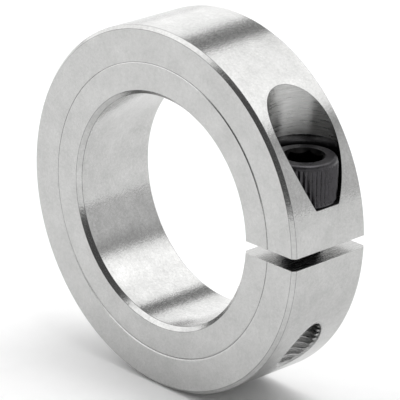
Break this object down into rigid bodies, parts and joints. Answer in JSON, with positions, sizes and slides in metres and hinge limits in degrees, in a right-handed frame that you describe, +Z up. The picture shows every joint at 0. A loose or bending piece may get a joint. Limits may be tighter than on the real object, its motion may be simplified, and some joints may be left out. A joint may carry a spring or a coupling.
{
  "type": "shaft collar",
  "caption": "Split clamping ring for a round shaft: a socket head cap screw across the slit draws the bore shut.",
  "frame": {"origin": "centre of the bore, half way along it", "axes": "+Y along the bore, out of the back face; +X towards the slit; +Z up, along the clamp screw towards its head"},
  "size_m": [0.057, 0.015, 0.057],
  "materials": {
    "ring": "turned, bright",
    "screw": "black oxide"
  },
  "bodies": {
    "lower_half": {"ring_lower_half": "ring"},
    "upper_half": {"ring_upper_half": "ring"},
    "screw": {"clamp_screw": "screw"}
  },
  "joints": [
    {"name": "clamp_close", "type": "hinge", "parent": "lower_half", "child": "upper_half", "pos_m": [-0.018, 0, 0], "axis": [0, 1, 0], "range_deg": [0, 0.36]},
    {"name": "screw_turn", "type": "hinge", "parent": "upper_half", "child": "screw", "pos_m": [0.02265, 0, 0], "axis": [0, 0, -1], "range_deg": [0, 90]}
  ],
  "couplings": [
    {"joint": "clamp_close", "follows": "screw_turn", "ratio": 0.0039153}
  ]
}
